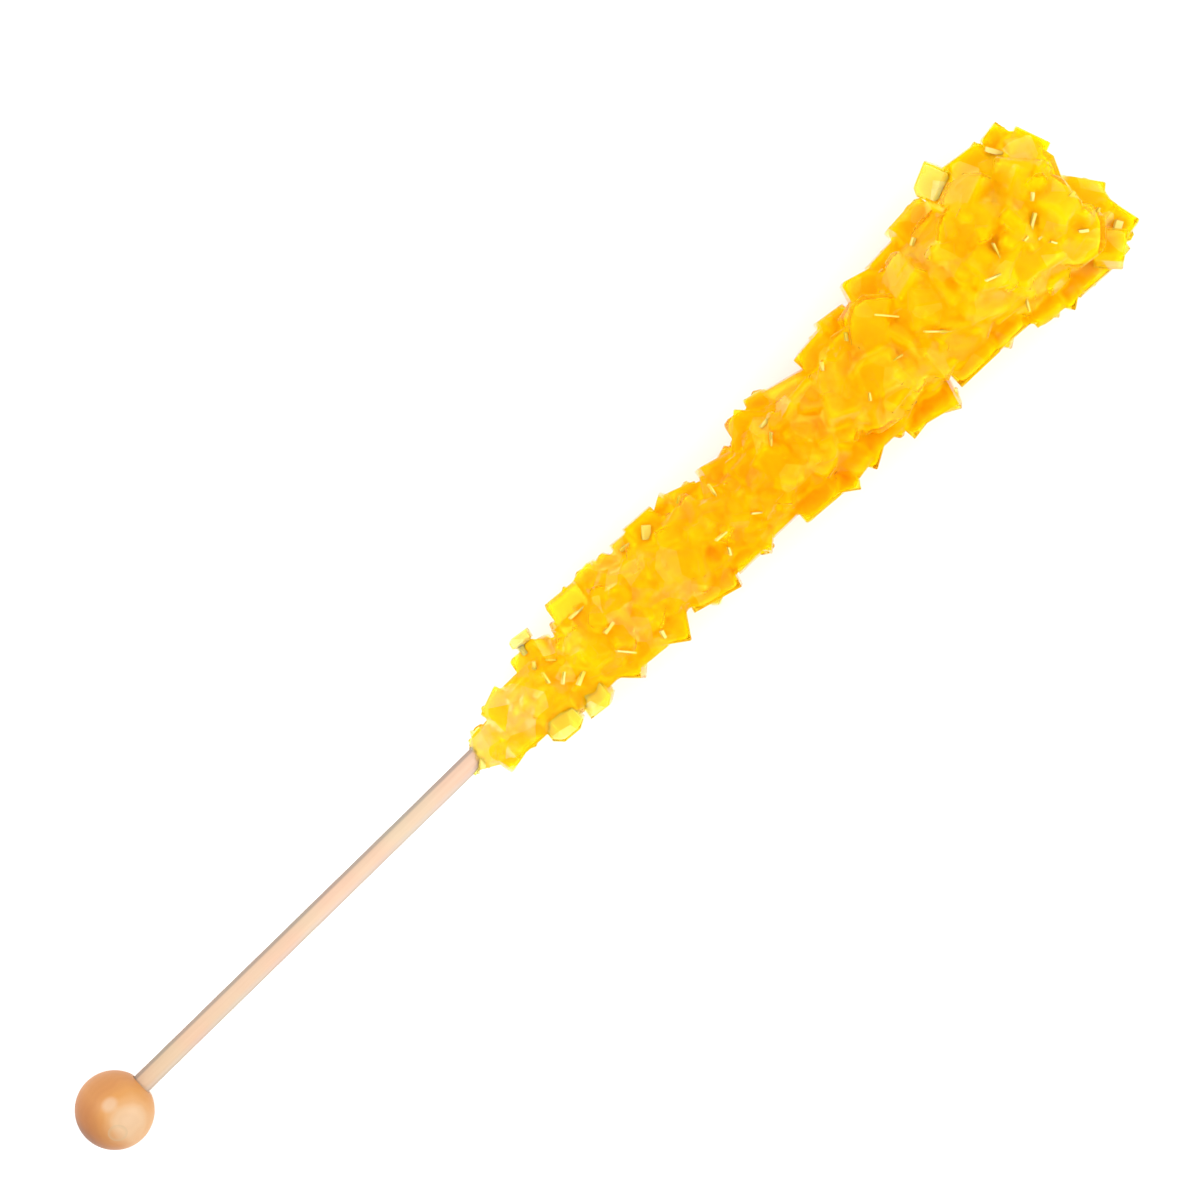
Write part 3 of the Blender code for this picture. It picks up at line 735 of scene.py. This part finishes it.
def grow_end(placed, forms, rng):
    """Crystals that spread out over the blunt end."""
    for spread, number in END_RINGS:
        for step in range(number):
            angle = 2 * math.pi * (step + rng.uniform(-END_SHIFT, END_SHIFT)) / number
            outward = Vector((1, spread * math.cos(angle), spread * math.sin(angle))).normalized()
            foot = Vector((END_BASE, outward.y * END_SPREAD, outward.z * END_SPREAD))
            reach = END_REACH * outward.x * rng.uniform(*END_REACHES)
            grow_crystal(placed, rng.choice(forms), foot, outward, reach, SIZE_AT_END, rng)


def place_side_crystals(placed, forms, rng):
    """The crystals that stand out at the two sides, each turned in the plane seen from above."""
    for u, v, length, width, turn in SIDE_CRYSTALS:
        level = rng.uniform(-SIDE_LEVEL, SIDE_LEVEL) * abs(v)
        roll = rng.uniform(-SIDE_ROLL, SIDE_ROLL)
        depth = 0.5 * (length + width) * rng.uniform(*SIDE_DEPTHS)
        upright = Euler((math.radians(90), roll, math.radians(turn)))
        size = Vector((length, depth, width))
        placed.append((rng.choice(forms), Vector((u, v, level)), upright.to_quaternion(), size))


def place_foot_crystals(placed, form):
    """The crystals under the thick end that reach down to the floor."""
    for u, v, length, width, turn in FOOT_CRYSTALS:
        floor = -((BALL_RADIUS - FLOOR_FLAT) / MM / math.cos(SLOPE) + u * math.tan(SLOPE))
        centre = Vector((u, v, floor - FOOT_SINK + 0.5 * FOOT_DEPTH))
        upright = Euler((0, 0, math.radians(turn)))
        placed.append((form, centre, upright.to_quaternion(), Vector((length, width, FOOT_DEPTH))))


def grown_crystals():
    """The CAD's crystals, as (form, centre, turn, size), in its order of draws: rows, sides, feet."""
    forms = [crystal_form(cuts) for cuts in FORM_CUTS]
    rng = random.Random(SEED)
    rows, sides, feet = [], [], []
    grow_rows(rows, forms, rng)
    grow_end(rows, forms, rng)
    place_side_crystals(sides, forms[:2], rng)
    place_foot_crystals(feet, forms[0])
    return rows, sides, feet


# ---- Sugar crystals: what the looks add -------------------------------------------------------

def chipped_forms(rng, distances, chips=CHIPS, segments=ROUNDING_SEGMENTS):
    """Forms of crystals with some corners and edges cut off at random."""
    directions = [
        (x, y, z) for x in (-1, 0, 1) for y in (-1, 0, 1) for z in (-1, 0, 1)
        if abs(x) + abs(y) + abs(z) > 1]
    forms = []
    for _ in range(CHIPPED_FORMS):
        cuts = []
        for direction in rng.sample(directions, chips):
            corner = math.sqrt(sum(map(abs, direction))) / 2
            cuts.append((direction, corner * rng.uniform(*distances)))
        forms.append(crystal_form(cuts, segments))
    return forms


def steps_on(placed, rng):
    """Parallel crystals grown on some of the others: smaller, shifted, and just proud of a face."""
    steps = []
    for form, centre, turn, size in placed:
        if rng.random() > STEPPED_SHARE:
            continue
        share = Vector(rng.uniform(*limits) for limits in STEP_SIZES)
        smaller = Vector(a * b for a, b in zip(size, share))
        proud = rng.uniform(*STEP_PROUD)
        shift = Vector(
            rng.choice((-1, 1)) * (0.5 * (1 - part) + proud) * whole for part, whole in zip(share, size))
        steps.append((form, centre + turn @ shift, turn, smaller))
    return steps


def small_crystals(forms, rng):
    """Small crystals in the creases between the large ones."""
    small = []
    for _ in range(SMALL_CRYSTALS):
        u = rng.uniform(ROWS_START, ROWS_END)
        angle = rng.uniform(0, 2 * math.pi)
        outward = Vector((0, math.cos(angle), math.sin(angle)))
        reach = lowered(side_reach(u, angle) * rng.uniform(*SMALL_REACH), angle)
        size = rng.uniform(*SMALL_SIZE)
        grow_crystal(small, rng.choice(forms), Vector((u, 0, 0)), outward, reach, size, rng)
    return small


def tilted(crystal, rng):
    """Tilt a crystal about the stick's line, and thin it so that it reaches as far out as before."""
    form, centre, turn, size = crystal
    angle = rng.uniform(-SIDE_TILT, SIDE_TILT)
    thinner = 1 / (math.cos(angle) + TILT_SPREAD * math.sin(abs(angle)))
    tilt = Euler((angle, 0, 0)).to_quaternion()
    return form, centre, tilt @ turn, Vector((size.x, size.y * thinner, size.z * thinner))


def companions_of(crystals, number, forms, rng):
    """Smaller crystals that grow over the corners of others, turned another way."""
    companions = []
    for _, centre, turn, size in crystals:
        for _ in range(number):
            shift = Vector(rng.uniform(-COMPANION_SHIFT, COMPANION_SHIFT) * length for length in size)
            lean = Euler([rng.uniform(-COMPANION_LEAN, COMPANION_LEAN) for _ in range(3)])
            smaller = size * rng.uniform(*COMPANION_SIZE)
            companions.append((
                rng.choice(forms), centre + turn @ shift, turn @ lean.to_quaternion(), smaller))
    return companions


def corners_of(crystal):
    """A crystal's corners along the stick, in millimetres."""
    form, centre, turn, size = crystal
    place = Matrix.LocRotScale(centre, turn, size)
    return [place @ vert.co for vert in form.vertices]


def in_groups(crystals):
    """Sort the crystals into groups in which no two touch, so that each group is one closed mesh."""
    groups = []
    for crystal in crystals:
        corners = corners_of(crystal)
        middle = sum(corners, Vector()) / len(corners)
        radius = max((corner - middle).length for corner in corners)
        for group in groups:
            if all((middle - other).length > radius + reach for other, reach, _ in group):
                break
        else:
            group = []
            groups.append(group)
        group.append((middle, radius, crystal))
    return [[crystal for _, _, crystal in group] for group in groups]


def islands_of(bm):
    """The separate shells of a mesh, smallest first."""
    shells = []
    left = set(bm.faces)
    while left:
        shell = [left.pop()]
        for face in shell:
            touching = {other for edge in face.edges for other in edge.link_faces} & left
            left -= touching
            shell.extend(touching)
        shells.append(shell)
    return sorted(shells, key=len)


def blocks(crystals):
    """Crystals that don't touch, as the closed shells of one mesh."""
    bm = bmesh.new()
    for crystal in crystals:
        first = len(bm.verts)
        bm.from_mesh(crystal[0])
        bm.verts.ensure_lookup_table()
        for vert, corner in zip(bm.verts[first:], corners_of(crystal)):
            vert.co = corner * MM
    return bm


def keep_outer_shell(piece):
    """Remove every shell of a mesh but its largest."""
    bm = bmesh.new()
    bm.from_mesh(piece.data)
    for hollow in islands_of(bm)[:-1]:
        bmesh.ops.delete(bm, geom=hollow, context="FACES")
    bm.to_mesh(piece.data)
    bm.free()


def fused(name, core, crystals, line, finish):
    """Fuse crystals and their core into one closed piece, cut off just above the floor."""
    piece = object_from(core, name, finish, line)
    for number, group in enumerate(in_groups(crystals)):
        boolean(piece, object_from(blocks(group), f"group_{number}", None, line), "UNION")
    below = bmesh.new()
    middle = Vector((0, 0, FLOOR_GAP - 0.5 * FLOOR_BLOCK))
    bmesh.ops.create_cube(below, size=FLOOR_BLOCK, matrix=Matrix.Translation(middle))
    boolean(piece, object_from(below, "below_floor"), "DIFFERENCE")
    bake(piece)
    keep_outer_shell(piece)
    return piece


def is_pale(crystal):
    """Whether a side crystal is one of the few pale ones."""
    centre = crystal[1]
    return any(math.hypot(centre.x - u, centre.y - v) < SAME_PLACE for u, v in PALE_CRYSTALS)


def lifted(crystal, form):
    """A pale crystal, higher up and in another form."""
    _, centre, turn, size = crystal
    return form, centre + Vector((0, 0, PALE_LIFT)), turn, size


def all_crystals():
    """The crystals as they look, each with how far out it is amber, and the few pale ones among them."""
    rows, sides, feet = grown_crystals()
    rng = random.Random(LOOKS_SEED)
    deep = chipped_forms(rng, DEEP_CHIPS)
    slight = chipped_forms(rng, SLIGHT_CHIPS)
    small = chipped_forms(rng, DEEP_CHIPS, segments=SMALL_SEGMENTS)
    rounder = chipped_forms(rng, ROUND_CHIPS, PALE_CHIPS)
    rows = [(rng.choice(deep), *crystal[1:]) for crystal in rows]
    sides = [(rng.choice(slight), *tilted(crystal, rng)[1:]) for crystal in sides]
    pale = [lifted(crystal, rng.choice(rounder)) for crystal in sides if is_pale(crystal)]
    sides = [crystal for crystal in sides if not is_pale(crystal)]
    rows += steps_on(rows, rng) + small_crystals(small, rng)
    rows += companions_of(rows[:len(rows) // 2], ROW_COMPANIONS, small, rng)
    sides += companions_of(sides, SIDE_COMPANIONS, small, rng)
    amber = [(crystal, HEART_REACH) for crystal in rows + feet]
    amber += [(crystal, SIDE_HEART_REACH) for crystal in sides]
    amber += [(crystal, PALE_ROOT_REACH) for crystal in pale]
    return amber, pale


def plate_on(surface, middle, along, eye, length, width):
    """The place of a thin plate on the candy: it faces halfway between the key light and the eye."""
    spots = []
    for share in GLINT_SPOTS:
        start = middle + along * share * length * MM
        start.z = ABOVE_CANDY
        spots.append(surface.ray_cast(start, Vector((0, 0, -1)))[0])
    if None in spots:
        return None
    spot = spots[len(spots) // 2]
    outward = ((KEY_PLACE - spot).normalized() + (eye - spot).normalized()).normalized()
    across = outward.cross(along).normalized()
    upright = Matrix((across.cross(outward), across, outward)).transposed()
    highest = max(min((other - spot).dot(outward), GLINT_LIFT * MM) for other in spots)
    centre = spot + outward * (highest + (GLINT_PROUD - 0.5 * GLINT_DEPTH) * MM)
    size = Vector((length, width, GLINT_DEPTH)) * MM
    return Matrix.LocRotScale(centre, upright.to_quaternion(), size)


def make_painted_glint_crystals(piece, line):
    """The thin pale crystals that lie on the clear ones, whose pale colour paints glints."""
    surface = BVHTree.FromObject(piece, bpy.context.evaluated_depsgraph_get())
    eye = line @ Vector((*VIEW_CENTRE, CAMERA_HEIGHT))
    bm = bmesh.new()
    for u, v, length, width, turn in GLINTS:
        along = Vector((math.cos(math.radians(turn)), math.sin(math.radians(turn)), 0))
        middle = line @ (Vector((u, v, 0)) * MM)
        place = plate_on(surface, middle, along, eye, length, width)
        if place is not None:
            bmesh.ops.create_cube(bm, size=1.0, matrix=place)
    return object_from(bm, "painted_glint_crystals", painted_glint_material())


def make_crystals(line, crystals):
    """The clear crystals, which stand for the CAD's candy."""
    piece = fused("sugar_crystals", core_mesh(CLEAR_DEPTH), crystals, line, sugar_material())
    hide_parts("candy")
    return piece


def make_pale_hearts(line, pale):
    """The cloudy inside of the few pale crystals, each a closed block."""
    finish = cloudy_material(
        "pale_cloudy_sugar", "Y", PALE_SPAN, PALE_CLOUD_SCALE, PALE_COLOURS, PALE_PATCH_COLOURS)
    inner = [(form, centre, turn, size * PALE_HEART_SIZE) for form, centre, turn, size in pale]
    return object_from(blocks(inner), "pale_hearts", finish, line)


def inside_of(crystal, reach):
    """The cloudy inside of a crystal: closer to the stick and smaller."""
    form, centre, turn, size = crystal
    pulled = Vector((centre.x, centre.y * reach, centre.z * reach))
    if centre.x > HEART_END:
        pulled.x = HEART_END + (centre.x - HEART_END) * reach
    return form, pulled, turn, size * HEART_SIZE


def make_heart(line, amber):
    """The cloudy inside of the candy, a smaller and softer copy of its crystals."""
    inner = [inside_of(crystal, reach) for crystal, reach in amber]
    finish = cloudy_material(
        "cloudy_sugar", "X", HEART_SPAN, HEART_CLOUD_SCALE, HEART_COLOURS, PATCH_COLOURS)
    piece = fused("sugar_heart", core_mesh(HEART_DEPTH), inner, line, finish)
    remesh = piece.modifiers.new("even", "REMESH")
    remesh.mode = "VOXEL"
    remesh.voxel_size = HEART_VOXEL
    soften = piece.modifiers.new("soften", "SMOOTH")
    soften.iterations = HEART_SMOOTHING
    bake(piece)
    piece.data.shade_smooth()
    return piece


# ---- Wood -------------------------------------------------------------------------------------

def make_stick(line):
    """The dowel, with a barely uneven surface and small chamfers."""
    rng = random.Random(LOOKS_SEED)
    profile = [(STICK_START, STICK_RADIUS - STICK_CHAMFER), (STICK_START + STICK_CHAMFER, STICK_RADIUS)]
    for step in range(1, STICK_STEPS):
        u = STICK_START + (STICK_END - STICK_START) * step / STICK_STEPS
        profile.append((u, STICK_RADIUS - rng.uniform(0, STICK_UNEVENNESS)))
    profile += [(STICK_END - STICK_CHAMFER, STICK_RADIUS), (STICK_END, STICK_RADIUS - STICK_CHAMFER)]
    piece = object_from(turned(profile, STICK_SIDES), "dowel", stick_material(line), line)
    piece.data.shade_smooth()
    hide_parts("stick")
    return piece


def make_ball(line):
    """The turned ball with the flat and the seam round the stick."""
    seam = STICK_RADIUS + HOLE_SEAM
    profile = []
    flat_angle = math.acos(HOLE_FLAT / BALL_RADIUS)
    for row in range(1, BALL_ROWS):
        angle = math.pi - (math.pi - flat_angle) * row / (BALL_ROWS - 1)
        profile.append((BALL_RADIUS * math.cos(angle), BALL_RADIUS * math.sin(angle)))
    profile += [(HOLE_FLAT, seam + HOLE_ROUNDING), (HOLE_FLAT - HOLE_ROUNDING, seam)]
    profile += [(HOLE_BOTTOM, seam), (HOLE_BOTTOM, HOLE_MIDDLE)]
    piece = object_from(turned(profile, BALL_SIDES), "turned_ball", ball_material(line), line)
    for vert in piece.data.vertices:
        vert.co.z = max(vert.co.z, 0.0)
    piece.data.shade_smooth()
    piece.data.set_sharp_from_angle(angle=SHARP_ANGLE)
    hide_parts("ball")
    return piece


# ---- Stage ------------------------------------------------------------------------------------

def make_floor():
    """A wide plain floor."""
    bm = bmesh.new()
    bmesh.ops.create_grid(bm, x_segments=4, y_segments=4, size=FLOOR_HALF)
    floor = object_from(bm, "floor", floor_material())


def soft_box(name, place, sides, power):
    """A rectangular lamp that is aimed at the candy."""
    lamp = bpy.data.lights.new(name, "AREA")
    lamp.shape = "RECTANGLE"
    lamp.size, lamp.size_y = sides
    lamp.energy = power
    thing = bpy.data.objects.new(name, lamp)
    bpy.context.scene.collection.objects.link(thing)
    thing.location = place
    thing.rotation_euler = (LIGHT_AIM - place).to_track_quat("-Z", "Y").to_euler()


def make_light():
    """Bright surroundings that are dimmer right above, with two soft boxes."""
    world = bpy.data.worlds.new("studio")
    bpy.context.scene.world = world
    world.use_nodes = True
    tree = world.node_tree
    place = node(tree, "ShaderNodeTexCoord")
    up = node(tree, "ShaderNodeSeparateXYZ", {"Vector": place.outputs["Generated"]})
    strength = node(tree, "ShaderNodeMapRange", {
        "Value": up.outputs["Z"], "From Min": WORLD_HEIGHTS[0], "From Max": WORLD_HEIGHTS[1],
        "To Min": WORLD_AROUND, "To Max": WORLD_ABOVE})
    background = tree.nodes["Background"]
    background.inputs["Color"].default_value = (1.0, 1.0, 1.0, 1.0)
    tree.links.new(strength.outputs["Result"], background.inputs["Strength"])
    soft_box("key", KEY_PLACE, KEY_SIDES, KEY_POWER)
    soft_box("fill", FILL_PLACE, FILL_SIDES, FILL_POWER)


def make_camera(line):
    """A camera that looks straight down, turned so that the stick runs up to the right."""
    camera = bpy.data.cameras.new("camera")
    thing = bpy.data.objects.new("camera", camera)
    bpy.context.scene.collection.objects.link(thing)
    bpy.context.scene.camera = thing
    centre = line @ Vector((VIEW_CENTRE[0], VIEW_CENTRE[1], 0))
    thing.location = (centre.x, centre.y, CAMERA_HEIGHT)
    thing.rotation_euler = (0, 0, -VIEW_TURN)
    camera.sensor_width = CAMERA_SENSOR
    camera.lens = CAMERA_SENSOR * (CAMERA_HEIGHT - centre.z) / VIEW_WIDTH


def main():
    """Dress the frame, light it and look at it."""
    line = stick_line()
    amber, pale = all_crystals()
    clear = make_crystals(line, [crystal for crystal, _ in amber])
    # painted glints: thin pale plates on the clear crystals
    thin = make_painted_glint_crystals(clear, line)
    candy = (clear, thin, make_pale_hearts(line, pale), make_heart(line, amber))
    pieces = {"sugar": candy, "stick_wood": (make_stick(line),), "ball_wood": (make_ball(line),)}
    for slot, members in pieces.items():
        for piece in members:
            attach(piece, "root")
    make_floor()
    make_light()
    make_camera(line)
    bpy.context.scene.view_settings.view_transform = "Standard"


main()
